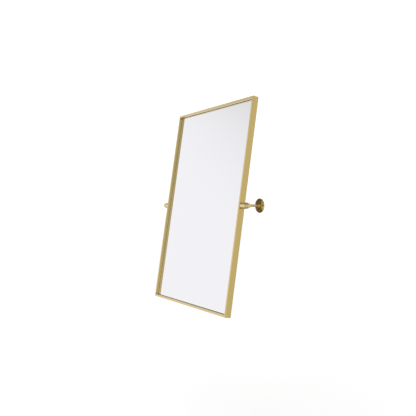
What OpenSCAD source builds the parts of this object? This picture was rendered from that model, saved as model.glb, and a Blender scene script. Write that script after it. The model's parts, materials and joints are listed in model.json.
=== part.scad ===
// Pivot wall mirror: a glass in a thin tube frame that tilts between two wall posts.
// +Z is up and the wall is the plane Y = 0. The mirror hangs on the -Y side.
// The origin lies on the wall, midway between the two posts, at the height of the pivots.

/* [Frame] */
// Outside width of the frame
frame_w = 610; // [300:5:900]
// Outside height of the frame
frame_h = 914; // [400:2:1400]
// Depth of the frame tube, front to back
frame_d = 27; // [25:0.5:40]
// Width of the frame tube's face
face_w = 9.5; // [9:0.5:16]
// Wall of the frame tube
tube_wall = 1.2; // [0.8:0.1:1.6]
// Outside corner radius of the frame tube
tube_r = 0.8; // [0.4:0.1:2]
// Gap left at each mitre
mitre_gap = 0.1; // [0:0.05:0.4]
// How far the frame leans back at rest, in degrees
lean = 9; // [0:0.5:9]
// How far the pivots sit below the middle of the frame
pivot_drop = 2; // [0:0.5:4]

/* [Corner keys] */
// Length of each leg of a corner key
key_leg = 44; // [30:1:80]
// Clearance between a key and the tube round it
key_clear = 0.1; // [0.05:0.05:0.3]
// Wall round the pocket in a key's leg
key_rib = 1.6; // [1.2:0.1:2.2]
// Floor behind the pocket in a key's leg
key_floor = 9; // [8:0.5:12]
// Distance of a key's screws from the frame's corner
key_screw_in = 32; // [20:1:70]
// Length of a key's screws
key_screw_l = 8; // [4:0.5:8]
// Radius of a key's screws
key_screw_r = 1.5; // [1:0.1:1.8]
// Head radius of a key's screws
key_head_r = 2.7; // [2.2:0.1:3]

/* [Glass and backing] */
// Depth of the glass behind the frame's front edge
glass_recess = 13; // [4:0.5:14]
// Dark gap between the frame and the glass, all round
glass_gap = 1.5; // [1:0.5:8]
// Thickness of the mirror glass
glass_t = 4; // [3:0.5:5]
// Width of the ground edge round the glass's face
arris = 0.8; // [0.3:0.1:1.5]
// Thickness of the foam tape behind the glass
tape_t = 1; // [0.5:0.1:1.5]
// Width of a strip of foam tape
tape_w = 25; // [12:1:40]
// Number of strips of foam tape
tape_count = 5; // [2:1:7]
// Distance of the tape's ends and outer strips from the glass's edge
tape_inset = 15; // [5:1:40]
// Thickness of the backing board
board_t = 5; // [3:0.5:5]
// Gap between the frame and the backing board
board_gap = 0.5; // [0.2:0.1:1.5]

/* [Board tabs] */
// Width of a tab that holds the board
tab_w = 18; // [12:1:30]
// Length of a tab, from the frame inwards
tab_l = 24; // [16:1:40]
// Thickness of a tab
tab_t = 1.2; // [0.8:0.1:1.6]
// Distance of the tabs on a rail from the rail's middle
rail_tab_x = 160; // [60:5:250]
// Distance of the tabs on a stile from the stile's middle
stile_tab_z = 270; // [80:5:400]
// Radius of a tab's screw
tab_screw_r = 1.5; // [1:0.1:2]
// Length of a tab's screw under its head
tab_screw_l = 5; // [3:0.5:5]
// Head radius of a tab's screw
tab_head_r = 3; // [2.4:0.1:4]
// Head height of a tab's screw
tab_head_h = 1.4; // [1:0.1:2]

/* [Pivot] */
// Distance from the wall to the pivots
reach = 85.5; // [85.5:0.5:140]
// Outside radius of the pivot barrels and knobs
hub_r = 13.5; // [10.5:0.5:13.5]
// Length of a pivot barrel
barrel_l = 14; // [12:0.5:30]
// Radius of the edges of the barrels and knobs
hub_edge = 0.5; // [0.2:0.1:1]
// Thickness of a friction washer
washer_t = 1; // [0.5:0.1:2]
// Outside radius of a friction washer
washer_r = 12.5; // [8:0.5:13]
// Gap between faces that turn on each other
turn_gap = 0.1; // [0.05:0.05:0.2]
// Radius of the stud's shoulder, which turns in the barrel
stud_r = 4; // [3.6:0.1:5]
// Radial clearance of the stud in the barrel and in the nut
stud_clear = 0.05; // [0.02:0.01:0.09]
// Radius of the stud's threaded tip
stud_tip_r = 3; // [2:0.1:3.4]
// How far the stud's tip reaches into the frame
stud_tip_l = 7.4; // [4:0.1:7.6]
// How far the stud is pressed into the knob
stud_in_knob = 14; // [8:0.5:16]
// Length of the pivot nut block in the stile
nut_l = 40; // [26:1:80]
// Radius of the nut's boss, seated in the stile's side
nut_boss_r = 6; // [4.5:0.1:9]

/* [Knob] */
// Length of the knob
knob_l = 31; // [24:0.5:36]
// Distance from the knob's inner end to where it starts to narrow
taper_in = 13; // [4:0.5:16]
// Radius of the knob at its flat end
knob_end_r = 9.5; // [8:0.5:10]
// Distance from the knob's inner end to the middle of its groove
groove_in = 19.5; // [15:0.5:22]
// Width of the groove, twice its depth
groove_w = 3.2; // [1:0.1:4]
// Size of the bevel round the knob's flat end
knob_bevel = 0.8; // [0.3:0.1:1.5]

/* [Wall post] */
// Radius of the rod
rod_r = 5.5; // [4:0.1:5.6]
// Depth of the rod's seat in the barrel
rod_seat = 4.5; // [2:0.1:6]
// Radius of the threaded ends of the rod
rod_tip_r = 3; // [2:0.1:3.2]
// Length of the rod's threaded end in the barrel
rod_tip_l = 3.2; // [2:0.1:3.6]
// Length of the rod's threaded end in the wall plate
rod_tail_l = 5.5; // [4:0.1:7]
// Clearance round the rod's ends and the rod in the flange
rod_clear = 0.05; // [0.02:0.01:0.2]

/* [Wall plate] */
// Radius of the wall plate
plate_r = 22; // [18:0.5:22]
// Thickness of the wall plate
plate_t = 4; // [3:0.1:4]
// Radius of the plate's threaded hub
plate_hub_r = 6; // [5:0.1:6.2]
// Height of the plate's hub above the wall
plate_hub_h = 7.5; // [7:0.1:8.5]
// Distance between the two screw holes of a wall plate
hole_spacing = 30; // [24:1:32]
// Radius of the screw holes
hole_r = 2.25; // [1.5:0.05:2.6]
// Radius of the countersinks
sink_r = 4.3; // [3.5:0.1:4.6]
// Depth of the countersinks
sink_d = 2.1; // [1:0.1:2.2]

/* [Flange] */
// Outside radius of the flange
flange_r = 30; // [28:0.5:40]
// Height of the flange's straight rim
rim_h = 1.5; // [0.8:0.1:3]
// Radius of the round shoulder inside the rim
shoulder_r = 4; // [3:0.1:5]
// Radius of the raised boss on the flange
boss_r = 20.5; // [12:0.5:22]
// Height of the raised boss above the shoulder
boss_h = 1.1; // [0.5:0.1:2]
// Outside radius of the neck
neck_r = 8; // [7.6:0.1:9]
// Radius of the hollow sweep from the boss to the neck
cove_r = 2.5; // [1.5:0.1:6]
// Length of the straight neck
neck_l = 4; // [3:0.1:8]
// Clearance between the flange and the wall plate inside it
plate_clear = 0.4; // [0.2:0.1:0.6]
// Radius of the grub screw in the neck
grub_r = 1.25; // [0.8:0.05:1.4]
// Radius of the grub screw's hexagon socket
grub_hex_r = 0.7; // [0.4:0.05:0.75]

/* [Hidden] */
$fn = 64;
inner_w = frame_w - 2 * face_w;
inner_h = frame_h - 2 * face_w;
front_y = -frame_d / 2;
rear_y = frame_d / 2;
glass_y = front_y + glass_recess;
tape_y = glass_y + glass_t;
board_y = tape_y + tape_t;
tab_y = board_y + board_t;
glass_w = inner_w - 2 * glass_gap;
glass_h = inner_h - 2 * glass_gap;
board_w = inner_w - 2 * board_gap;
board_h = inner_h - 2 * board_gap;
key_in = tube_wall + key_clear;
key_t = face_w - 2 * key_in;
key_d = frame_d - 2 * key_in;
screw_clear = 0.05;
barrel_s = washer_t;
outer_washer_s = barrel_s + barrel_l;
knob_s = outer_washer_s + washer_t + turn_gap;
post_x = frame_w / 2 + barrel_s + barrel_l / 2;
seat_d = sqrt(hub_r * hub_r - rod_r * rod_r);
rod_front_y = -reach + seat_d - rod_seat;
shoulder_h = rim_h + shoulder_r;
cove_h = shoulder_h + boss_h + cove_r;
neck_h = cove_h + neck_l;
grub_h = cove_h + neck_l / 2;
thru = 1;
gold = [0.75, 0.67, 0.44];
dark_gold = [0.69, 0.61, 0.38];
steel = [0.62, 0.62, 0.63];
zinc = [0.55, 0.56, 0.57];
nylon = [0.86, 0.85, 0.81];
sides = [-1, 1];

// Places a piece of the tilting frame: X across, Y towards the back, Z up from the frame's middle.
module on_frame() {
    translate([0, -reach, 0]) rotate([-lean, 0, 0]) translate([0, 0, pivot_drop]) children();
}

// Turns a piece drawn along +Z to stand outwards from one side of the frame.
module outwards(side) {
    translate([side * frame_w / 2, -reach, 0]) rotate([0, side * 90, 0]) children();
}

// Turns a piece drawn along +Z to stand out from the wall at one post.
module from_wall(side) {
    translate([side * post_x, 0, 0]) rotate([90, 0, 0]) children();
}

// Square with round corners, drawn as true arcs, centred.
module round_square(w, h, r) {
    square([w - 2 * r, h], center = true);
    square([w, h - 2 * r], center = true);
    for (x = sides, y = sides) translate([x * (w / 2 - r), y * (h / 2 - r)]) circle(r);
}

// Section of the frame tube, its outer face at y = 0 and its inner face at y = -face_w.
module tube_section() {
    translate([0, -face_w / 2]) difference() {
        round_square(frame_d, face_w, tube_r);
        square([frame_d - 2 * tube_wall, face_w - 2 * tube_wall], center = true);
    }
}

// A length of tube with both ends mitred, its outer face up and at z = 0.
module mitred_tube(length) {
    half = length / 2 - mitre_gap / 2;
    intersection() {
        translate([-length / 2, 0, 0]) rotate([90, 0, 90]) linear_extrude(length) tube_section();
        rotate([90, 0, 0]) linear_extrude(2 * frame_d, center = true)
            polygon([[-half, 0], [half, 0], [half - face_w, -face_w], [face_w - half, -face_w]]);
    }
}

// Where the key screws enter the back of a rail, from the rail's own middle.
module at_key_screws(length) {
    for (x = sides) translate([x * (length / 2 - key_screw_in), rear_y, -face_w / 2])
        rotate([90, 0, 0]) children();
}

// A countersunk screw, its head flush with z = 0 and its shank along +Z, or the hole for it.
module sunk_screw(grow = 0) {
    cylinder(h = key_head_r - key_screw_r, r1 = key_head_r + grow, r2 = key_screw_r + grow);
    cylinder(h = key_screw_l + grow, r = key_screw_r + grow);
    if (grow > 0) translate([0, 0, -thru]) cylinder(h = thru, r = key_head_r + grow);
}

module rail(length) {
    difference() {
        mitred_tube(length);
        at_key_screws(length) sunk_screw(screw_clear);
    }
}

// A stile also has the hole in its side that takes the pivot nut's boss.
module stile(side) {
    difference() {
        rail(frame_h);
        translate([side * pivot_drop, 0, -tube_wall - thru])
            cylinder(h = tube_wall + 2 * thru, r = nut_boss_r + key_clear);
    }
}

module top_rail() {
    color(gold) on_frame() translate([0, 0, frame_h / 2]) rail(frame_w);
}

module bottom_rail() {
    color(gold) on_frame() translate([0, 0, -frame_h / 2]) rotate([0, 180, 0]) rail(frame_w);
}

module left_stile() {
    color(gold) on_frame() translate([-frame_w / 2, 0, 0]) rotate([0, -90, 0]) stile(-1);
}

module right_stile() {
    color(gold) on_frame() translate([frame_w / 2, 0, 0]) rotate([0, 90, 0]) stile(1);
}

// One leg of a corner key along +X, outer face at z = 0, with a pocket cored from the front.
module key_leg_solid() {
    difference() {
        translate([0, -key_d / 2, -key_t]) cube([key_leg, key_d, key_t]);
        translate([key_t + key_rib, -key_d / 2 - thru, -key_t + key_rib])
            cube([key_leg - key_t - 2 * key_rib, key_d - key_floor + thru, key_t - 2 * key_rib]);
    }
}

// The key at the corner named by x and z, each -1 or 1.
module corner_key(x, z) {
    color(zinc) on_frame() difference() {
        translate([x * (frame_w / 2 - key_in), 0, z * (frame_h / 2 - key_in)]) scale([-x, 1, z]) {
            key_leg_solid();
            mirror([1, 0, 1]) key_leg_solid();
        }
        key_screw_places() sunk_screw(screw_clear);
    }
}

// Where all eight key screws sit in the frame.
module key_screw_places() {
    for (turn = [0, 180]) rotate([0, turn, 0]) translate([0, 0, frame_h / 2])
        at_key_screws(frame_w) children();
    for (turn = [90, 270]) rotate([0, turn, 0]) translate([0, 0, frame_w / 2])
        at_key_screws(frame_h) children();
}

module key_screws() {
    color(steel) on_frame() key_screw_places() sunk_screw();
}

// Glass with a ground edge: the face is smaller than the back by the arris.
module mirror_glass() {
    color([0.88, 0.89, 0.92]) on_frame() difference() {
        translate([-glass_w / 2, glass_y, -glass_h / 2]) cube([glass_w, glass_t, glass_h]);
        for (x = sides) translate([x * glass_w / 2, glass_y, 0]) arris_cut(glass_h);
        for (z = sides) translate([0, glass_y, z * glass_h / 2]) rotate([0, 90, 0]) arris_cut(glass_w);
    }
}

// A square bar turned on edge, which takes the arris off one edge of the glass.
module arris_cut(length) {
    rotate([0, 0, 45]) cube([arris * sqrt(2), arris * sqrt(2), length + 2 * thru], center = true);
}

module foam_tapes() {
    span = glass_w - 2 * tape_inset - tape_w;
    color([0.2, 0.2, 0.2]) on_frame() for (i = [0 : tape_count - 1])
        translate([-span / 2 + i * span / (tape_count - 1) - tape_w / 2, tape_y, tape_inset - glass_h / 2])
            cube([tape_w, tape_t, glass_h - 2 * tape_inset]);
}

module backing_board() {
    color([0.46, 0.4, 0.29]) on_frame() difference() {
        translate([-board_w / 2, board_y, -board_h / 2]) cube([board_w, board_t, board_h]);
        tab_places() translate([0, 0, -tab_screw_l - screw_clear])
            cylinder(h = tab_screw_l + thru, r = tab_screw_r + screw_clear);
    }
}

// Where the tabs' screws enter the board: z = 0 is the board's back and +X points into the frame.
module tab_places() {
    screw_in = tab_l - tab_w / 2;
    for (turn = [0, 180]) rotate([0, turn, 0]) for (x = sides)
        translate([x * rail_tab_x, tab_y, inner_h / 2 - screw_in]) rotate([-90, 90, 0]) children();
    for (turn = [90, 270]) rotate([0, turn, 0]) for (x = sides)
        translate([x * stile_tab_z, tab_y, inner_w / 2 - screw_in]) rotate([-90, 90, 0]) children();
}

// A flat tab with a round end, welded to the frame by its square end.
module board_tab() {
    difference() {
        union() {
            cylinder(h = tab_t, r = tab_w / 2);
            translate([tab_w / 2 - tab_l, -tab_w / 2, 0]) cube([tab_l - tab_w / 2, tab_w, tab_t]);
        }
        translate([0, 0, -thru]) cylinder(h = tab_t + 2 * thru, r = tab_screw_r + screw_clear);
    }
}

module board_tabs() {
    color(steel) on_frame() tab_places() board_tab();
}

// A pan head screw with a cross recess.
module tab_screw() {
    difference() {
        union() {
            translate([0, 0, -tab_screw_l]) cylinder(h = tab_screw_l + tab_t, r = tab_screw_r);
            translate([0, 0, tab_t]) cylinder(h = tab_head_h, r = tab_head_r);
        }
        for (turn = [0, 90]) rotate([0, 0, turn])
            translate([-tab_head_r / 2, -tab_head_r / 8, tab_t + tab_head_h / 2])
                cube([tab_head_r, tab_head_r / 4, tab_head_h]);
    }
}

module tab_screws() {
    color(zinc) on_frame() tab_places() tab_screw();
}

// Block inside the stile that the stud screws into; its boss fills the hole in the stile's side.
module pivot_nut(side) {
    color(steel) outwards(side) rotate([0, 0, -side * lean]) difference() {
        union() {
            translate([-nut_l / 2, -key_d / 2, -key_in - key_t]) cube([nut_l, key_d, key_t]);
            translate([0, 0, -key_in - thru]) cylinder(h = key_in + thru, r = nut_boss_r);
        }
        translate([0, 0, -face_w]) cylinder(h = face_w + thru, r = stud_tip_r + stud_clear);
    }
}

module washer(side, s) {
    color(nylon) outwards(side) translate([0, 0, s]) difference() {
        cylinder(h = washer_t - turn_gap, r = washer_r);
        translate([0, 0, -thru]) cylinder(h = washer_t + 2 * thru, r = stud_r + 2 * stud_clear);
    }
}

// Section of a turned bar from the axis outwards, with its two outer edges rounded.
module turned_section(length, r) {
    square([r - hub_edge, length]);
    translate([0, hub_edge]) square([r, length - 2 * hub_edge]);
    for (y = [hub_edge, length - hub_edge]) translate([r - hub_edge, y]) circle(hub_edge);
}

// Barrel at the end of the rod; the stud turns in it and the washers bear on its ends.
module barrel(side) {
    color(gold) difference() {
        outwards(side) translate([0, 0, barrel_s]) rotate_extrude() difference() {
            turned_section(barrel_l, hub_r);
            translate([-hub_edge, -thru]) square([stud_r + stud_clear + hub_edge, barrel_l + 2 * thru]);
        }
        translate([side * post_x, rod_front_y, 0]) rotate([-90, 0, 0])
            cylinder(h = hub_r, r = rod_r + rod_clear);
        translate([side * post_x, rod_front_y - rod_tip_l, 0]) rotate([-90, 0, 0])
            cylinder(h = hub_r, r = rod_tip_r + rod_clear);
    }
}

// Stud pressed into the knob, with a shoulder in the barrel and a threaded tip in the nut.
module stud(side) {
    color(steel) outwards(side) {
        translate([0, 0, -stud_tip_l]) cylinder(h = stud_tip_l + thru, r = stud_tip_r);
        translate([0, 0, turn_gap]) cylinder(h = knob_s + stud_in_knob - turn_gap, r = stud_r);
    }
}

// Radius of the knob at a distance from its inner end.
function knob_r(s) = hub_r - (hub_r - knob_end_r) * max(0, s - taper_in) / (knob_l - taper_in);

// A square set on its corner, which cuts a groove or a bevel as deep as its reach.
module corner_cut(reach) {
    rotate(45) square(reach * sqrt(2), center = true);
}

// Section of the knob: a straight skirt, then a cone with a groove, then a bevelled flat end.
module knob_section() {
    difference() {
        intersection() {
            turned_section(2 * knob_l, hub_r);
            polygon([[0, 0], [hub_r, 0], [hub_r, taper_in], [knob_end_r, knob_l], [0, knob_l]]);
        }
        translate([knob_r(groove_in), groove_in]) corner_cut(groove_w / 2);
        translate([knob_end_r, knob_l]) corner_cut(knob_bevel);
    }
}

// Turned knob with a groove round its cone, bored for the stud.
module knob(side) {
    color(dark_gold) outwards(side) translate([0, 0, knob_s]) rotate_extrude() difference() {
        knob_section();
        translate([-thru, -thru]) square([stud_r + thru, stud_in_knob + thru]);
    }
}

// Rod from the barrel to the wall plate, with a threaded end at each end.
module rod(side) {
    color(gold) translate([side * post_x, 0, 0]) rotate([90, 0, 0]) {
        translate([0, 0, plate_hub_h]) cylinder(h = -rod_front_y - plate_hub_h, r = rod_r);
        translate([0, 0, plate_hub_h - rod_tail_l])
            cylinder(h = rod_tip_l + rod_tail_l - rod_front_y - plate_hub_h, r = rod_tip_r);
    }
}

// Round plate screwed to the wall, with two countersunk holes and a threaded hub.
module wall_plate(side) {
    color(steel) from_wall(side) difference() {
        union() {
            cylinder(h = plate_t, r = plate_r);
            cylinder(h = plate_hub_h, r = plate_hub_r);
        }
        translate([0, 0, plate_hub_h - rod_tail_l - rod_clear])
            cylinder(h = rod_tail_l + thru, r = rod_tip_r + rod_clear);
        for (y = sides) translate([0, y * hole_spacing / 2, 0]) {
            translate([0, 0, -thru]) cylinder(h = plate_t + 2 * thru, r = hole_r);
            translate([0, 0, plate_t - sink_d]) cylinder(h = sink_d, r1 = hole_r, r2 = sink_r);
            translate([0, 0, plate_t]) cylinder(h = thru, r = sink_r);
        }
    }
}

// Section of the flange: rim, round shoulder, raised boss, hollow sweep and neck.
module flange_section() {
    difference() {
        union() {
            square([flange_r, rim_h]);
            square([flange_r - shoulder_r, shoulder_h]);
            translate([flange_r - shoulder_r, rim_h]) intersection() {
                circle(shoulder_r);
                square(shoulder_r);
            }
            square([boss_r, shoulder_h + boss_h]);
            difference() {
                square([neck_r + cove_r, cove_h]);
                translate([neck_r + cove_r, cove_h]) circle(cove_r);
            }
            square([neck_r, neck_h]);
        }
        square([plate_r + plate_clear, plate_t + plate_clear]);
        square([plate_hub_r + plate_clear, plate_hub_h + plate_clear]);
        square([rod_r + rod_clear, neck_h + thru]);
    }
}

// Flange that slides on the rod and covers the wall plate; a grub screw locks its neck.
module flange(side) {
    color(gold) from_wall(side) difference() {
        rotate_extrude() flange_section();
        translate([0, 0, grub_h]) rotate([90, 0, 0]) cylinder(h = neck_r + thru, r = grub_r + screw_clear);
    }
}

// Headless screw under the neck, with a hexagon socket.
module grub_screw(side) {
    length = neck_r - rod_r - 4 * rod_clear;
    color(steel) from_wall(side) translate([0, -rod_r - rod_clear, grub_h]) rotate([90, 0, 0]) difference() {
        cylinder(h = length, r = grub_r);
        translate([0, 0, length / 2]) cylinder(h = length, r = grub_hex_r, $fn = 6);
    }
}

top_rail();
bottom_rail();
left_stile();
right_stile();
corner_key(-1, 1);  // key_top_left
corner_key(1, 1);  // key_top_right
corner_key(-1, -1);  // key_bottom_left
corner_key(1, -1);  // key_bottom_right
key_screws();
mirror_glass();
foam_tapes();
backing_board();
board_tabs();
tab_screws();
pivot_nut(-1);  // left_pivot_nut
pivot_nut(1);  // right_pivot_nut
washer(-1, turn_gap);  // left_inner_washer
washer(1, turn_gap);  // right_inner_washer
washer(-1, outer_washer_s);  // left_outer_washer
washer(1, outer_washer_s);  // right_outer_washer
barrel(-1);  // left_barrel
barrel(1);  // right_barrel
stud(-1);  // left_stud
stud(1);  // right_stud
knob(-1);  // left_knob
knob(1);  // right_knob
rod(-1);  // left_rod
rod(1);  // right_rod
flange(-1);  // left_flange
flange(1);  // right_flange
grub_screw(-1);  // left_grub_screw
grub_screw(1);  // right_grub_screw
wall_plate(-1);  // left_wall_plate
wall_plate(1);  // right_wall_plate
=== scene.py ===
import json
import math

import bmesh
import bpy
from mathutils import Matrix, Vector


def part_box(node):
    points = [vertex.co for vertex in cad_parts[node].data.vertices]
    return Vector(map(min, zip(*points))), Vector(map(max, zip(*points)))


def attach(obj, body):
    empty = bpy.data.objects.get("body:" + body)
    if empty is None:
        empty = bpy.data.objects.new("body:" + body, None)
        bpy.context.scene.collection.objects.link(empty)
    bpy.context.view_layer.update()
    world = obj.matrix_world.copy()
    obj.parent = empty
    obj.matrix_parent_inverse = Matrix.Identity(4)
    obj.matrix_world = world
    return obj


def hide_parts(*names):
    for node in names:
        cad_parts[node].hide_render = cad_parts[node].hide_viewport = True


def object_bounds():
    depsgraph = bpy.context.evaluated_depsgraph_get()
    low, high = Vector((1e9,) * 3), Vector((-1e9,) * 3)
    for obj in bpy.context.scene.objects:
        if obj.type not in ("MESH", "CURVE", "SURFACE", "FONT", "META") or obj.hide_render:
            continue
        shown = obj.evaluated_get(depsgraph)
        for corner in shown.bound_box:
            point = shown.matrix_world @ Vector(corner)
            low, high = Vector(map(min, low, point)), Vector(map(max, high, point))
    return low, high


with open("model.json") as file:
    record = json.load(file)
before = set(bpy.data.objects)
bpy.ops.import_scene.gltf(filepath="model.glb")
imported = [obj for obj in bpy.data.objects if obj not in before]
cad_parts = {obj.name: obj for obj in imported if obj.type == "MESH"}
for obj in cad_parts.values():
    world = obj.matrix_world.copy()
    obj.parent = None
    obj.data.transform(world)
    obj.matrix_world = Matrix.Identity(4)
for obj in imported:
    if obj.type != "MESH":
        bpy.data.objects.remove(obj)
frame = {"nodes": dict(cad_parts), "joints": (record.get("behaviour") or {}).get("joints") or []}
cad_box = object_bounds()

# ---------------------------------------------------------------- camera
# The mirror is seen from the height of its pivots and 57 degrees round to its right, so its
# face and its right side both show. The camera looks level, just past the frame's middle.
stile_low, stile_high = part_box("right_stile")
middle = Vector((0, (stile_low.y + stile_high.y) / 2, (stile_low.z + stile_high.z) / 2))
azimuth = math.radians(56.93)
elevation = math.radians(0.34)
distance = 2.373
slide_right = 0.0266
slide_up = -0.0129
focal_pixels = 520.0
frame_pixels = 416
sensor_width = 36.0

look = Vector((
    -math.sin(azimuth) * math.cos(elevation),
    math.cos(azimuth) * math.cos(elevation),
    -math.sin(elevation),
))
right = Vector((math.cos(azimuth), math.sin(azimuth), 0))
camera = bpy.data.objects.new("camera", bpy.data.cameras.new("camera"))
bpy.context.scene.collection.objects.link(camera)
camera.location = middle - look * distance + right * slide_right + right.cross(look) * slide_up
camera.rotation_mode = "QUATERNION"
camera.rotation_quaternion = look.to_track_quat("-Z", "Y")
camera.data.sensor_width = sensor_width
camera.data.lens = focal_pixels / frame_pixels * sensor_width
bpy.context.scene.camera = camera
bpy.context.scene.view_settings.view_transform = "Standard"

# ---------------------------------------------------------------- studio
# A white room with a plain pale floor well below the mirror. Metal and glass reflect a softer
# room than the one that lights them, which gives them their darker sides.


def linear(code):
    """The linear colour, with alpha, of an sRGB hex code."""
    parts = [int(code[i:i + 2], 16) / 255 for i in (1, 3, 5)]
    return [c / 12.92 if c <= 0.04045 else ((c + 0.055) / 1.055) ** 2.4 for c in parts] + [1]


def add(tree, kind, inputs=(), take=None, **settings):
    """Adds a node with its settings, sets or links its inputs, and returns one output.

    The output is the one that take names, or else the first.
    """
    node = tree.nodes.new(kind)
    for name, value in settings.items():
        setattr(node, name, value)
    for name, value in dict(inputs).items():
        socket = next(s for s in node.inputs if name in (s.identifier, s.name))
        if isinstance(value, bpy.types.NodeSocket):
            tree.links.new(value, socket)
        else:
            socket.default_value = value
    outputs = {s.identifier: s for s in node.outputs}
    return outputs.get(take) or next(iter(outputs.values()), None)


room_white = 1.15
room_front = "#fbf9fd"
patches = (
    # direction of a darker patch, cosines at which it begins and is full, its colour
    ((0.20, -0.50, 0.84), 0.22, 0.75, "#bcbcbe"),
    ((0.838, 0.546, 0.0), 0.5, 0.95, "#dddad0"),
    ((0.0, 0.0, 1.0), 0.3, 0.65, "#a9a7a2"),
    ((0.0, 0.0, -1.0), 0.3, 0.65, "#b4b2ad"),
    ((-0.93, 0.37, 0.0), 0.925, 0.975, "#0b0a09"),
    ((-0.60, -0.20, 0.775), 0.85, 0.95, "#8a8984"),
    ((0.55, -0.83, 0.0), 0.86, 0.97, "#a5a4a0"),
)

world = bpy.data.worlds.new("white studio")
world.use_nodes = True
bpy.context.scene.world = world
room = world.node_tree
room.nodes.clear()
way = add(room, "ShaderNodeTexCoord", take="Generated")
seen = linear(room_front)
for towards, begins, full, code in patches:
    nearness = add(
        room, "ShaderNodeVectorMath", {"Vector": way, "Vector_001": Vector(towards).normalized()},
        take="Value", operation="DOT_PRODUCT",
    )
    share = add(
        room, "ShaderNodeMapRange", {"Value": nearness, "From Min": begins, "From Max": full},
        interpolation_type="SMOOTHSTEP",
    )
    seen = add(
        room, "ShaderNodeMix", {"Factor_Float": share, "A_Color": seen, "B_Color": linear(code)},
        take="Result_Color", data_type="RGBA",
    )
glossy = add(room, "ShaderNodeLightPath", take="Is Glossy Ray")
plain = add(room, "ShaderNodeBackground", {"Color": linear("#ffffff"), "Strength": room_white})
soft = add(room, "ShaderNodeBackground", {"Color": seen})
both = add(room, "ShaderNodeMixShader", {"Fac": glossy, "Shader": plain, "Shader_001": soft})
add(room, "ShaderNodeOutputWorld", {"Surface": both})


def new_finish(name):
    """A material with an empty node tree, and that tree."""
    finish = bpy.data.materials.new(name)
    finish.use_nodes = True
    finish.node_tree.nodes.clear()
    return finish, finish.node_tree


floor_drop = 0.6
floor_half = 40.0
sheet = bmesh.new()
bmesh.ops.create_grid(sheet, x_segments=1, y_segments=1, size=floor_half)
bmesh.ops.translate(sheet, verts=sheet.verts, vec=(0, 0, cad_box[0].z - floor_drop))
floor = bpy.data.objects.new("floor", bpy.data.meshes.new("floor"))
sheet.to_mesh(floor.data)
sheet.free()
floor.visible_glossy = False
bpy.context.scene.collection.objects.link(floor)
# Matt studio paper: an even pale grey without a gleam.
paper, tree = new_finish("pale matt studio paper")
shader = add(
    tree, "ShaderNodeBsdfPrincipled",
    {"Base Color": linear("#f4f4f4"), "Roughness": 0.9, "Specular IOR Level": 0.1},
)
add(tree, "ShaderNodeOutputMaterial", {"Surface": shader})
floor.data.materials.append(paper)

# ---------------------------------------------------------------- wall plates
# Each post starts at a round steel plate, turned and bright zinc plated, screwed to the wall
# through two countersunk holes. The flange hides it, so it shows only from behind.
tilt = next(joint for joint in frame["joints"] if joint["name"] == "tilt")
pivot = Vector(tilt["pos_m"])
rod_low, rod_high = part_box("right_rod")
post_x = (rod_low.x + rod_high.x) / 2
# The right hub's place without its signs. Rings take the signs of the point that they colour,
# and so find the nearer hub.
hub_axis = Vector((post_x, -pivot.y, 0))
# Sharp metal edges are shaded as if worn round by this much, as polishing leaves them.
edge_round = 0.0003
edge_samples = 8
# Real tool marks are about 0.1 mm apart, too fine to show, so they are drawn at 0.6 mm.
plate_marks = 0.0006
zinc_cloud = 0.0055


def rings(tree, axis, across, fine):
    """Noise in rings round an axis through the nearer hub, as a turning tool leaves them."""
    place = add(tree, "ShaderNodeTexCoord", take="Object")
    side = add(tree, "ShaderNodeVectorMath", {"Vector": place}, operation="SIGN")
    centre = add(
        tree, "ShaderNodeVectorMath", {"Vector": side, "Vector_001": hub_axis},
        operation="MULTIPLY",
    )
    offset = add(
        tree, "ShaderNodeVectorMath", {"Vector": place, "Vector_001": centre},
        operation="SUBTRACT",
    )
    radial = add(
        tree, "ShaderNodeVectorMath", {"Vector": offset, "Vector_001": across},
        operation="MULTIPLY",
    )
    radius = add(
        tree, "ShaderNodeVectorMath", {"Vector": radial}, take="Value", operation="LENGTH",
    )
    along = add(
        tree, "ShaderNodeVectorMath", {"Vector": offset, "Vector_001": axis},
        take="Value", operation="DOT_PRODUCT",
    )
    path = add(tree, "ShaderNodeCombineXYZ", {"X": radius, "Y": along})
    return add(
        tree, "ShaderNodeTexNoise", {"Vector": path, "Scale": 1 / fine, "Detail": 2},
        take="Fac", noise_dimensions="2D",
    )


def dress(finish, *names):
    """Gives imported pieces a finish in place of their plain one."""
    for name in names:
        for slot in frame["nodes"][name].material_slots:
            slot.material = finish


# Bright zinc: a bluish grey metal with a soft gleam, cloudy where the bath plated it thicker.
zinc, tree = new_finish("bright zinc plated steel")
place = add(tree, "ShaderNodeTexCoord", take="Object")
clouds = add(
    tree, "ShaderNodeTexNoise", {"Vector": place, "Scale": 1 / zinc_cloud, "Detail": 3},
    take="Fac",
)
colour = add(
    tree, "ShaderNodeMix",
    {"Factor_Float": clouds, "A_Color": linear("#9fa3a8"), "B_Color": linear("#c6c9cb")},
    take="Result_Color", data_type="RGBA",
)
marks = rings(tree, Vector((0, 1, 0)), Vector((1, 0, 1)), plate_marks)
rough = add(tree, "ShaderNodeMapRange", {"Value": clouds, "To Min": 0.25, "To Max": 0.42})
worn = add(tree, "ShaderNodeBevel", {"Radius": edge_round}, samples=edge_samples)
relief = add(
    tree, "ShaderNodeBump",
    {"Strength": 0.25, "Distance": 0.0001, "Height": marks, "Normal": worn},
)
shader = add(
    tree, "ShaderNodeBsdfPrincipled",
    {"Base Color": colour, "Metallic": 1, "Roughness": rough, "Normal": relief},
)
add(tree, "ShaderNodeOutputMaterial", {"Surface": shader})
dress(zinc, "left_wall_plate", "right_wall_plate")

# ---------------------------------------------------------------- rods and flanges
# A brass rod stands on each wall plate and carries the pivot. A turned brass flange with a
# stepped face and a short neck slides along it and hides the plate. Both are satin, lacquered.
brass_marks = 0.0008


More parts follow.
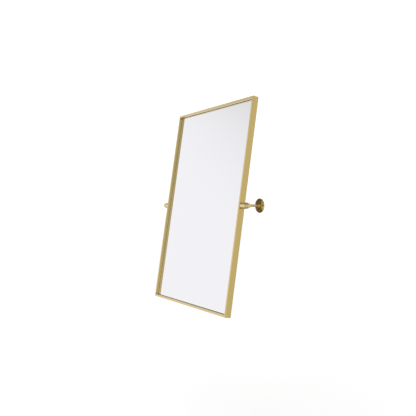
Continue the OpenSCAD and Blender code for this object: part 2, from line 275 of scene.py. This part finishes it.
def turned_brass(name, axis, across, smooth, rough, dark, pale):
    """Satin brass turned in fine rings and lacquered.

    The rings draw the highlight out round the piece, and the lacquer lays a paler gleam over it.
    Real rings are about 0.1 mm apart, too fine to show, so they are drawn at brass_marks.
    """
    finish, tree = new_finish(name)
    marks = rings(tree, axis, across, brass_marks)
    colour = add(
        tree, "ShaderNodeMix",
        {"Factor_Float": marks, "A_Color": linear(dark), "B_Color": linear(pale)},
        take="Result_Color", data_type="RGBA",
    )
    roughness = add(tree, "ShaderNodeMapRange", {"Value": marks, "To Min": smooth, "To Max": rough})
    worn = add(tree, "ShaderNodeBevel", {"Radius": edge_round}, samples=edge_samples)
    relief = add(
        tree, "ShaderNodeBump",
        {"Strength": 0.15, "Distance": 0.0001, "Height": marks, "Normal": worn},
    )
    shader = add(
        tree, "ShaderNodeBsdfPrincipled",
        {
            "Base Color": colour, "Metallic": 1, "Roughness": roughness, "Normal": relief,
            "Coat Weight": 0.5, "Coat Roughness": 0.12,
        },
    )
    add(tree, "ShaderNodeOutputMaterial", {"Surface": shader})
    return finish


post_brass = turned_brass(
    "satin turned brass, posts", Vector((0, 1, 0)), Vector((1, 0, 1)), 0.1, 0.16,
    "#d8c07e", "#e2cb8a",
)
dress(post_brass, "left_rod", "right_rod")


def new_tree(name, **sockets):
    """A geometry tree with named inputs after its geometry, and its inputs by name."""
    tree = bpy.data.node_groups.new(name, "GeometryNodeTree")
    for label, kind in {"Geometry": "Geometry", **sockets}.items():
        tree.interface.new_socket(label, in_out="INPUT", socket_type="NodeSocket" + kind)
    tree.interface.new_socket("Geometry", in_out="OUTPUT", socket_type="NodeSocketGeometry")
    return tree, {s.name: s for s in tree.nodes.new("NodeGroupInput").outputs}


# The tree that turns a profile: a grid with a row for each point of the profile and a column
# for each step round the axis, closed into a solid and creased where two faces meet sharply.
lathe, given = new_tree(
    "turned piece", Steps="Int", Crease="Float", Centre="Vector", Axis="Vector", Finish="Material",
)
count = add(
    lathe, "GeometryNodeAttributeDomainSize", {"Geometry": given["Geometry"]}, take="Point Count",
)
columns = add(lathe, "FunctionNodeIntegerMath", {"Value": given["Steps"], "Value_001": 1})
net = add(
    lathe, "GeometryNodeMeshGrid", {"Vertices X": count, "Vertices Y": columns}, take="Mesh",
)
index = add(lathe, "GeometryNodeInputIndex")
row = add(
    lathe, "FunctionNodeIntegerMath", {"Value": index, "Value_001": columns},
    operation="DIVIDE_FLOOR",
)
column = add(
    lathe, "FunctionNodeIntegerMath", {"Value": index, "Value_001": columns}, operation="MODULO",
)
point = add(
    lathe, "GeometryNodeSampleIndex",
    {"Geometry": given["Geometry"], "Value": add(lathe, "GeometryNodeInputPosition"), "Index": row},
    data_type="FLOAT_VECTOR",
)
share = add(
    lathe, "ShaderNodeMath", {"Value": column, "Value_001": given["Steps"]}, operation="DIVIDE",
)
turn = add(
    lathe, "ShaderNodeMath", {"Value": share, "Value_001": 2 * math.pi}, operation="MULTIPLY",
)
spun = add(
    lathe, "ShaderNodeVectorRotate", {"Vector": point, "Angle": turn}, rotation_type="Z_AXIS",
)
bent = add(lathe, "GeometryNodeSetPosition", {"Geometry": net, "Position": spun})
closed = add(lathe, "GeometryNodeMergeByDistance", {"Geometry": bent, "Distance": 1e-6})
soft_faces = add(
    lathe, "GeometryNodeSetShadeSmooth", {"Geometry": closed, "Shade Smooth": True}, domain="FACE",
)
angle = add(lathe, "GeometryNodeInputMeshEdgeAngle", take="Unsigned Angle")
gentle = add(
    lathe, "ShaderNodeMath", {"Value": angle, "Value_001": given["Crease"]}, operation="LESS_THAN",
)
creased = add(
    lathe, "GeometryNodeSetShadeSmooth", {"Geometry": soft_faces, "Shade Smooth": gentle},
    domain="EDGE",
)
aim = add(lathe, "FunctionNodeAlignRotationToVector", {"Vector": given["Axis"]}, axis="Z")
placed = add(
    lathe, "GeometryNodeTransform",
    {"Geometry": creased, "Translation": given["Centre"], "Rotation": aim},
)
outward = add(lathe, "GeometryNodeFlipFaces", {"Mesh": placed})
real = add(lathe, "GeometryNodeRealizeInstances", {"Geometry": outward})
made = add(lathe, "GeometryNodeSetMaterial", {"Geometry": real, "Material": given["Finish"]})
add(lathe, "NodeGroupOutput", {"Geometry": made})


def new_piece(name, points, edges=(), faces=()):
    """An object made from points, edges and faces, in the scene."""
    mesh = bpy.data.meshes.new(name)
    mesh.from_pydata([tuple(p) for p in points], edges, faces)
    piece = bpy.data.objects.new(name, mesh)
    bpy.context.scene.collection.objects.link(piece)
    return piece


def settle(piece):
    """Keeps what a piece's modifiers make as its own mesh, without the modifiers."""
    bpy.context.view_layer.update()
    graph = bpy.context.evaluated_depsgraph_get()
    made = bpy.data.meshes.new_from_object(piece.evaluated_get(graph))
    piece.modifiers.clear()
    piece.data = made
    # A tree adds its finish behind the empty slot of the points that it started from.
    if len(made.materials) > 1:
        made.polygons.foreach_set("material_index", [0] * len(made.polygons))
        made.materials.pop(index=0)


def run(tree, piece, **values):
    """Runs a geometry tree with its named inputs on a piece."""
    step = piece.modifiers.new(tree.name, "NODES")
    step.node_group = tree
    for socket in tree.interface.items_tree:
        if socket.in_out == "INPUT" and socket.name in values:
            step[socket.identifier] = values[socket.name]
    settle(piece)
    return piece


def outline(corners, steps=6):
    """Points along a chain of corners (radius, height, rounding), each corner an arc."""
    points = []
    chain = zip(corners[:1] + corners, corners, corners[1:] + corners[-1:])
    for before, (x, z, rounding), after in chain:
        corner = Vector((x, z))
        if not rounding:
            points.append(corner)
            continue
        back = (Vector(before[:2]) - corner).normalized()
        ahead = (Vector(after[:2]) - corner).normalized()
        half = back.angle(ahead) / 2
        middle = corner + (back + ahead).normalized() * rounding / math.sin(half)
        start = corner + back * rounding / math.tan(half) - middle
        end = corner + ahead * rounding / math.tan(half) - middle
        for i in range(steps + 1):
            points.append(middle + start.slerp(end, i / steps).normalized() * rounding)
    return points


turn_steps = 144
crease = math.radians(35)


def turned(name, corners, centre, axis, finish, steps=turn_steps):
    """A turned piece with its profile's height along an axis from a centre."""
    points = outline(corners)
    links = [(i, i + 1) for i in range(len(points) - 1)]
    return run(
        lathe, new_piece(name, [(x, 0, z) for x, z in points], links),
        Steps=steps, Crease=crease, Centre=centre, Axis=axis, Finish=finish,
    )


def cut(piece, cutter):
    """Cuts the cutter out of a piece and drops it."""
    step = piece.modifiers.new("cut", "BOOLEAN")
    step.object = cutter
    step.solver = "MANIFOLD"
    settle(piece)
    bpy.data.objects.remove(cutter)


flange_low, flange_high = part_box("right_flange")
grub_low, grub_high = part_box("right_grub_screw")
flange_r = (flange_high.x - flange_low.x) / 2
neck_h = flange_high.y - flange_low.y
rod_r = (rod_high.x - rod_low.x) / 2
slide_fit = 0.00005
bore_r = rod_r + slide_fit
rim_h = 0.0033
rim_in = 0.0275
rim_top_h = 0.0044
boss_r = 0.0205
boss_foot_h = 0.0064
boss_h = 0.0073
boss_top_r = 0.013
boss_top_h = 0.0084
neck_r = 0.008
cove_r = 0.0025
# The hollow back of the flange goes over the wall plate and the plate's own hub.
hollow_r = 0.0224
hollow_h = 0.0044
hollow_hub_r = 0.0064
hollow_hub_h = 0.0079
flange_profile = [
    # radius, height off the wall, rounding of the corner
    (hollow_r, 0, 0),
    (flange_r, 0, 0.0003),
    (flange_r, rim_h, 0.0006),
    (rim_in, rim_top_h, 0.003),
    (boss_r, boss_foot_h, 0.0003),
    (boss_r, boss_h, 0.0004),
    (boss_top_r, boss_top_h, 0.004),
    (neck_r, boss_top_h, cove_r),
    (neck_r, neck_h, 0.0006),
    (bore_r, neck_h, 0),
    (bore_r, hollow_hub_h, 0),
    (hollow_hub_r, hollow_hub_h, 0),
    (hollow_hub_r, hollow_h, 0),
    (hollow_r, hollow_h, 0),
    (hollow_r, 0, 0),
]
grub_y = (grub_low.y + grub_high.y) / 2
grub_hole_r = grub_high.x - post_x + slide_fit
grub_hole_steps = 32
grub_hole_profile = [
    (0, -neck_r, 0), (grub_hole_r, -neck_r, 0), (grub_hole_r, -bore_r / 2, 0), (0, -bore_r / 2, 0),
]
for side, x in (("left", -post_x), ("right", post_x)):
    flange = turned(
        f"{side}_flange_turned", flange_profile, Vector((x, 0, 0)), Vector((0, -1, 0)), post_brass,
    )
    grub_hole = turned(
        "grub hole", grub_hole_profile, Vector((x, grub_y, 0)), Vector((0, 0, 1)), post_brass,
        grub_hole_steps,
    )
    cut(flange, grub_hole)
    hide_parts(f"{side}_flange")
    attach(flange, "wall_posts")

# ---------------------------------------------------------------- barrels and washers
# The barrel on the end of each rod is the bearing of the pivot, turned from brass bar. The
# friction washers on its two faces are punched from natural nylon sheet.
# The hubs and knobs take the posts' brass with a paler colour, a painted highlight that brightens
# their gleam.
hub_brass_painted_highlight = turned_brass(
    "satin turned brass, hubs, paler for a painted highlight", Vector((1, 0, 0)), Vector((0, 1, 1)), 0.2, 0.28,
    "#e0ca8e", "#eedba2",
)
dress(hub_brass_painted_highlight, "left_barrel", "right_barrel")

# Natural nylon: milky, a little waxy, with light passing a short way into it.
nylon_haze = 0.0025
nylon, tree = new_finish("natural nylon")
place = add(tree, "ShaderNodeTexCoord", take="Object")
haze = add(tree, "ShaderNodeTexNoise", {"Vector": place, "Scale": 1 / nylon_haze}, take="Fac")
colour = add(
    tree, "ShaderNodeMix",
    {"Factor_Float": haze, "A_Color": linear("#cfcabb"), "B_Color": linear("#dedaca")},
    take="Result_Color", data_type="RGBA",
)
rough = add(tree, "ShaderNodeMapRange", {"Value": haze, "To Min": 0.35, "To Max": 0.5})
shader = add(
    tree, "ShaderNodeBsdfPrincipled",
    {
        "Base Color": colour, "Roughness": rough,
        "Subsurface Weight": 0.2, "Subsurface Scale": 0.001,
    },
)
add(tree, "ShaderNodeOutputMaterial", {"Surface": shader})
dress(nylon, "left_inner_washer", "left_outer_washer", "right_inner_washer", "right_outer_washer")

# ---------------------------------------------------------------- frame
# Two rails and two stiles of rectangular brass tube, mitred at the corners. Each was brushed
# along its length and lacquered before it was cut, so the grain turns at every mitre.
lean = math.radians(9)
frame_up = Vector((0, math.sin(lean), math.cos(lean)))
frame_back = Vector((0, math.cos(lean), -math.sin(lean)))
# Real brush marks are about 0.1 mm wide, too fine to show, so they are drawn at 0.8 mm.
grain_fine = 1 / 0.0008
grain_long = 1 / 0.12


def brushed_brass(name, grain, grain_way, dark, pale):
    """Lacquered brass brushed along one axis of the leaning frame.

    The straight grain gives long faint streaks and spreads the highlight across them.
    """
    finish, tree = new_finish(name)
    place = add(tree, "ShaderNodeTexCoord", take="Object")
    upright = add(tree, "ShaderNodeMapping", {"Vector": place, "Rotation": (lean, 0, 0)})
    drawn = add(
        tree, "ShaderNodeVectorMath", {"Vector": upright, "Vector_001": grain},
        operation="MULTIPLY",
    )
    marks = add(tree, "ShaderNodeTexNoise", {"Vector": drawn, "Scale": 1, "Detail": 3}, take="Fac")
    colour = add(
        tree, "ShaderNodeMix",
        {"Factor_Float": marks, "A_Color": linear(dark), "B_Color": linear(pale)},
        take="Result_Color", data_type="RGBA",
    )
    rough = add(tree, "ShaderNodeMapRange", {"Value": marks, "To Min": 0.2, "To Max": 0.26})
    worn = add(tree, "ShaderNodeBevel", {"Radius": edge_round}, samples=edge_samples)
    tangent = add(
        tree, "ShaderNodeVectorTransform", {"Vector": grain_way},
        vector_type="VECTOR", convert_from="OBJECT", convert_to="WORLD",
    )
    shader = add(
        tree, "ShaderNodeBsdfPrincipled",
        {
            "Base Color": colour, "Metallic": 1, "Roughness": rough, "Normal": worn,
            "Tangent": tangent, "Anisotropic": 0.5, "Anisotropic Rotation": 0.25,
            "Coat Weight": 0.5, "Coat Roughness": 0.2,
        },
    )
    add(tree, "ShaderNodeOutputMaterial", {"Surface": shader})
    return finish


rail_brass = brushed_brass(
    "brushed brass, rails", (grain_long, grain_fine, grain_fine), Vector((1, 0, 0)),
    "#d6c084", "#e3d095",
)
stile_brass = brushed_brass(
    "brushed brass, stiles", (grain_fine, grain_fine, grain_long), frame_up,
    "#d8c07e", "#e2cb8a",
)
dress(rail_brass, "top_rail", "bottom_rail")
dress(stile_brass, "left_stile", "right_stile")

# ---------------------------------------------------------------- corner keys and their screws
# Die-cast keys join the mitred tubes from inside. Two countersunk cross-head screws hold each,
# driven from behind, so every head is turned by chance.

# Raw die castings: dull grey metal with a fine grit all over.
cast_grit = 0.0011
cast, tree = new_finish("die-cast zinc, as cast")
place = add(tree, "ShaderNodeTexCoord", take="Object")
grit = add(
    tree, "ShaderNodeTexNoise", {"Vector": place, "Scale": 1 / cast_grit, "Detail": 4},
    take="Fac",
)
colour = add(
    tree, "ShaderNodeMix",
    {"Factor_Float": grit, "A_Color": linear("#8c8f92"), "B_Color": linear("#a5a8aa")},
    take="Result_Color", data_type="RGBA",
)
relief = add(tree, "ShaderNodeBump", {"Strength": 0.3, "Distance": 0.0002, "Height": grit})
shader = add(
    tree, "ShaderNodeBsdfPrincipled",
    {"Base Color": colour, "Metallic": 1, "Roughness": 0.55, "Normal": relief},
)
add(tree, "ShaderNodeOutputMaterial", {"Surface": shader})
dress(cast, "key_top_left", "key_top_right", "key_bottom_left", "key_bottom_right")

# Plain steel: a neutral grey metal, smeared here and there by handling and oil.
steel_smear = 0.0014
steel, tree = new_finish("plain steel screws")
place = add(tree, "ShaderNodeTexCoord", take="Object")
smears = add(
    tree, "ShaderNodeTexNoise", {"Vector": place, "Scale": 1 / steel_smear, "Detail": 2},
    take="Fac",
)
colour = add(
    tree, "ShaderNodeMix",
    {"Factor_Float": smears, "A_Color": linear("#a3a3a4"), "B_Color": linear("#bcbcbd")},
    take="Result_Color", data_type="RGBA",
)
rough = add(tree, "ShaderNodeMapRange", {"Value": smears, "To Min": 0.22, "To Max": 0.45})
worn = add(tree, "ShaderNodeBevel", {"Radius": edge_round}, samples=edge_samples)
shader = add(
    tree, "ShaderNodeBsdfPrincipled",
    {"Base Color": colour, "Metallic": 1, "Roughness": rough, "Normal": worn},
)
add(tree, "ShaderNodeOutputMaterial", {"Surface": shader})
dress(steel, "left_grub_screw", "right_grub_screw")

# The tree that sets a copy of one screw at every place, each turned about its axis by chance.
spread, given = new_tree(
    "screws in place", Screw="Object", Axis="Vector", Seed="Int", Finish="Material",
)
screw = add(spread, "GeometryNodeObjectInfo", {"Object": given["Screw"]}, take="Geometry")
aim = add(spread, "FunctionNodeAlignRotationToVector", {"Vector": given["Axis"]}, axis="Z")
copies = add(
    spread, "GeometryNodeInstanceOnPoints",
    {"Points": given["Geometry"], "Instance": screw, "Rotation": aim},
)
chance = add(
    spread, "FunctionNodeRandomValue", {"Max_001": math.pi, "Seed": given["Seed"]},
    take="Value_001", data_type="FLOAT",
)
spin = add(spread, "ShaderNodeCombineXYZ", {"Z": chance})
driven = add(spread, "GeometryNodeRotateInstances", {"Instances": copies, "Rotation": spin})
real = add(spread, "GeometryNodeRealizeInstances", {"Geometry": driven})
made = add(spread, "GeometryNodeSetMaterial", {"Geometry": real, "Material": given["Finish"]})
add(spread, "NodeGroupOutput", {"Geometry": made})

frame_axes = (Vector((1, 0, 0)), frame_back, frame_up)


def in_frame(across, back, up):
    """The place that has these distances along the leaning frame's axes."""
    return frame_axes[0] * across + frame_axes[1] * back + frame_axes[2] * up


def spans(points):
    """Where a set of points begins and ends along the leaning frame's own three axes."""
    reach = [[point.dot(axis) for point in points] for axis in frame_axes]
    return [min(line) for line in reach], [max(line) for line in reach]


def solids(node):
    """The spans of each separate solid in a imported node."""
    mesh = bmesh.new()
    mesh.from_mesh(frame["nodes"][node].data)
    bmesh.ops.remove_doubles(mesh, verts=mesh.verts, dist=1e-6)
    left = set(mesh.verts)
    found = []
    while left:
        edge = {left.pop()}
        part = set(edge)
        while edge:
            edge = {e.other_vert(v) for v in edge for e in v.link_edges} & left
            left -= edge
            part |= edge
        found.append(spans([v.co for v in part]))
    mesh.free()
    return sorted(found)


# The cross recess: the half width and half length of its wings, its depth, and how far the
# wings narrow towards its floor and widen towards its mouth.
wing_w = 0.0004
wing_l = 0.0017
wing_d = 0.0012
floor_share = 0.6
mouth_share = 1.2
screw_steps = 40
box_faces = [(3, 2, 1, 0), (4, 5, 6, 7), (0, 1, 5, 4), (1, 2, 6, 5), (2, 3, 7, 6), (3, 0, 4, 7)]


def screws(name, node, corners, seed):
    """Cross-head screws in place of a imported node, their heads towards the frame's back."""
    screw = turned("screw", corners, Vector((0, 0, 0)), Vector((0, 0, 1)), steel, screw_steps)
    top = max(z for _, z, _ in corners)
    for across, length in ((wing_w, wing_l), (wing_l, wing_w)):
        points = [
            (x * across * wide, y * length * wide, top + z)
            for wide, z in ((floor_share, -wing_d), (mouth_share, wing_d))
            for x, y in ((-1, -1), (1, -1), (1, 1), (-1, 1))
        ]
        cut(screw, new_piece("recess", points, [], box_faces))
    places = [
        in_frame((low[0] + high[0]) / 2, high[1] - top, (low[2] + high[2]) / 2)
        for low, high in solids(node)
    ]
    piece = run(
        spread, new_piece(name, places), Screw=screw, Axis=frame_back, Seed=seed, Finish=steel,
    )
    bpy.data.objects.remove(screw)
    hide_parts(node)
    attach(piece, "mirror_frame")


shank_r = 0.0015
key_head_r = 0.0027
key_head_edge = 0.0001
key_screw_l = 0.008
key_screw_profile = [
    # radius, height above the frame's back, rounding of the corner
    (0, -key_screw_l, 0),
    (shank_r, -key_screw_l, 0.0003),
    (shank_r, -key_head_r + shank_r, 0),
    (key_head_r, -key_head_edge, 0),
    (key_head_r, 0, 0),
    (0, 0, 0),
]
screws("key_screws_driven", "key_screws", key_screw_profile, 3)

# ---------------------------------------------------------------- glass
# Silvered float glass, 4 mm, with a ground arris round its face and grey paint on its back.
# Five strips of black foam tape bond it to the board.

# Silvering: a clean, neutral mirror, a trace less than perfectly sharp.
silver, tree = new_finish("silvered float glass")
shader = add(
    tree, "ShaderNodeBsdfPrincipled",
    {"Base Color": linear("#f6f7f7"), "Metallic": 1, "Roughness": 0.01},
)
add(tree, "ShaderNodeOutputMaterial", {"Surface": shader})

# Ground glass: a frosted edge, pale and greenish.
glass_grit = 0.0007
ground, tree = new_finish("ground glass edge")
place = add(tree, "ShaderNodeTexCoord", take="Object")
grit = add(tree, "ShaderNodeTexNoise", {"Vector": place, "Scale": 1 / glass_grit}, take="Fac")
colour = add(
    tree, "ShaderNodeMix",
    {"Factor_Float": grit, "A_Color": linear("#a9bfb6"), "B_Color": linear("#c3d3cc")},
    take="Result_Color", data_type="RGBA",
)
shader = add(
    tree, "ShaderNodeBsdfPrincipled",
    {"Base Color": colour, "Roughness": 0.35, "Specular IOR Level": 0.5},
)
add(tree, "ShaderNodeOutputMaterial", {"Surface": shader})

# Backing paint: an even mid grey with a low sheen.
paint, tree = new_finish("grey backing paint")
shader = add(
    tree, "ShaderNodeBsdfPrincipled", {"Base Color": linear("#6d7175"), "Roughness": 0.5},
)
add(tree, "ShaderNodeOutputMaterial", {"Surface": shader})

arris = 0.0014
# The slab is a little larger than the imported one, which leaves the dark gap round it as narrow
# as it looks from the front.
grown = 0.001
# A face is the mirror's front or its back where its normal points that way by more than this.
facing = 0.9
lows, highs = spans([v.co for v in frame["nodes"]["mirror_glass"].data.vertices])
lows = [lows[0] - grown, lows[1], lows[2] - grown]
highs = [highs[0] + grown, highs[1], highs[2] + grown]
slab = bmesh.new()
bmesh.ops.create_cube(slab, size=1)
for vert in slab.verts:
    shares = [c + 0.5 for c in vert.co]
    vert.co = Vector([low + (high - low) * s for low, high, s in zip(lows, highs, shares)])
front_edges = [e for e in slab.edges if all(v.co.y < lows[1] + arris for v in e.verts)]
bmesh.ops.bevel(slab, geom=front_edges, offset=arris, segments=1, affect="EDGES")
slab.normal_update()
for face in slab.faces:
    face.material_index = 0 if face.normal.y < -facing else 2 if face.normal.y > facing else 1
for vert in slab.verts:
    vert.co = in_frame(*vert.co)
mirror = bpy.data.objects.new("mirror_glass_ground", bpy.data.meshes.new("mirror_glass_ground"))
slab.to_mesh(mirror.data)
slab.free()
bpy.context.scene.collection.objects.link(mirror)
for finish in (silver, ground, paint):
    mirror.data.materials.append(finish)
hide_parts("mirror_glass")
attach(mirror, "mirror_frame")

# Foam tape: a dead black edge with open cells. Real cells are about 0.1 mm across, too fine to
# show, so they are drawn at 0.4 mm.
foam_cell = 0.0004
foam, tree = new_finish("black foam tape")
place = add(tree, "ShaderNodeTexCoord", take="Object")
cells = add(
    tree, "ShaderNodeTexVoronoi", {"Vector": place, "Scale": 1 / foam_cell}, take="Distance",
)
relief = add(tree, "ShaderNodeBump", {"Strength": 0.4, "Distance": 0.0002, "Height": cells})
shader = add(
    tree, "ShaderNodeBsdfPrincipled",
    {"Base Color": linear("#232323"), "Roughness": 0.85, "Normal": relief},
)
add(tree, "ShaderNodeOutputMaterial", {"Surface": shader})
dress(foam, "foam_tapes")

# ---------------------------------------------------------------- backing board
# Brown hardboard behind the glass, its pressed screen pattern outwards. Zinc plated tabs
# welded to the frame hold it, each with one pan-head screw.

# Hardboard: matt brown, felted from pale and dark fibres, with broad faint stains, and pits where
# the press's wire screen sank in, darkened with painted shade.
board_fibre = 0.0024
board_stain = 0.11
screen_pitch = 0.002
# A wave texture turns through 20 radians in one unit of its scale.
screen_scale = 2 * math.pi / (20 * screen_pitch)
board, tree = new_finish("brown hardboard")
place = add(tree, "ShaderNodeTexCoord", take="Object")
upright = add(tree, "ShaderNodeMapping", {"Vector": place, "Rotation": (lean, 0, 0)})
fibres = add(
    tree, "ShaderNodeTexNoise",
    {"Vector": upright, "Scale": 1 / board_fibre, "Detail": 5, "Distortion": 1.5},
    take="Fac",
)
clear_fibres = add(
    tree, "ShaderNodeMapRange", {"Value": fibres, "From Min": 0.36, "From Max": 0.66},
)
stains = add(
    tree, "ShaderNodeTexNoise", {"Vector": upright, "Scale": 1 / board_stain, "Detail": 4},
    take="Fac",
)
clear_stains = add(
    tree, "ShaderNodeMapRange", {"Value": stains, "From Min": 0.35, "From Max": 0.65},
)
fibre_tone = add(
    tree, "ShaderNodeMix",
    {"Factor_Float": clear_fibres, "A_Color": linear("#564934"), "B_Color": linear("#7f7056")},
    take="Result_Color", data_type="RGBA",
)
stain_tone = add(
    tree, "ShaderNodeMix",
    {"Factor_Float": clear_stains, "A_Color": linear("#64563f"), "B_Color": linear("#716249")},
    take="Result_Color", data_type="RGBA",
)
surface = add(
    tree, "ShaderNodeMix", {"Factor_Float": 0.35, "A_Color": fibre_tone, "B_Color": stain_tone},
    take="Result_Color", data_type="RGBA",
)
wires = [
    add(
        tree, "ShaderNodeTexWave", {"Vector": upright, "Scale": screen_scale},
        take="Fac", bands_direction=way,
    )
    for way in ("X", "Z")
]
screen = add(
    tree, "ShaderNodeMath", {"Value": wires[0], "Value_001": wires[1]}, operation="MULTIPLY",
)
# Painted shade: the screen's pits are coloured darker, towards a dark brown, as if shade fell in
# them.
pit_painted_shade = add(tree, "ShaderNodeMapRange", {"Value": screen, "To Min": 0.0, "To Max": 0.4})
colour = add(
    tree, "ShaderNodeMix", {"Factor_Float": pit_painted_shade, "A_Color": surface, "B_Color": linear("#4b4030")},
    take="Result_Color", data_type="RGBA",
)
relief = add(
    tree, "ShaderNodeBump", {"Strength": 0.5, "Distance": 0.0003, "Height": screen}, invert=True,
)
shader = add(
    tree, "ShaderNodeBsdfPrincipled", {"Base Color": colour, "Roughness": 0.75, "Normal": relief},
)
add(tree, "ShaderNodeOutputMaterial", {"Surface": shader})
dress(board, "backing_board")
dress(zinc, "board_tabs")

tab_head_r = 0.003
tab_head_h = 0.0014
tab_shank_l = 0.0062
tab_screw_profile = [
    # radius, height above the tab, rounding of the corner
    (0, -tab_shank_l, 0),
    (shank_r, -tab_shank_l, 0.0003),
    (shank_r, 0, 0),
    (tab_head_r, 0, 0),
    (tab_head_r, tab_head_h, 0.0011),
    (0, tab_head_h, 0),
]
screws("tab_screws_driven", "tab_screws", tab_screw_profile, 8)

# ---------------------------------------------------------------- pivots and knobs
# A zinc plated shoulder stud runs through the barrel into a nut block in the stile. Its other
# end is pressed into the knob, which is turned from brass with a groove round its cone.
dress(zinc, "left_stud", "right_stud", "left_pivot_nut", "right_pivot_nut")

knob_low, knob_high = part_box("right_knob")
stud_low, stud_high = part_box("right_stud")
knob_l = knob_high.x - knob_low.x
hub_r = (knob_high.z - knob_low.z) / 2
stud_r = (stud_high.z - stud_low.z) / 2
stud_in = 0.014
taper_in = 0.013
knob_end_r = 0.0095
groove_in = 0.0195
groove_w = 0.004
groove_start = groove_in - groove_w / 2
groove_end = groove_in + groove_w / 2
knob_bevel = 0.0008


def knob_r(along):
    """The cone's radius at a distance from the knob's inner end."""
    return hub_r - (hub_r - knob_end_r) * (along - taper_in) / (knob_l - taper_in)


knob_profile = [
    # radius, distance from the knob's inner end, rounding of the corner
    (0, stud_in, 0),
    (stud_r, stud_in, 0),
    (stud_r, 0, 0),
    (hub_r, 0, 0.0005),
    (hub_r, taper_in, 0.012),
    (knob_r(groove_start), groove_start, 0.0003),
    (knob_r(groove_in) - groove_w / 2, groove_in, 0.0003),
    (knob_r(groove_end), groove_end, 0.0003),
    (knob_end_r, knob_l - knob_bevel, 0.0004),
    (knob_end_r - knob_bevel, knob_l, 0.0004),
    (0, knob_l, 0),
]
for side, x in (("left", -1), ("right", 1)):
    knob = turned(
        f"{side}_knob_turned", knob_profile, Vector((x * knob_low.x, pivot.y, 0)),
        Vector((x, 0, 0)), hub_brass_painted_highlight,
    )
    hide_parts(f"{side}_knob")
    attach(knob, f"{side}_knob")
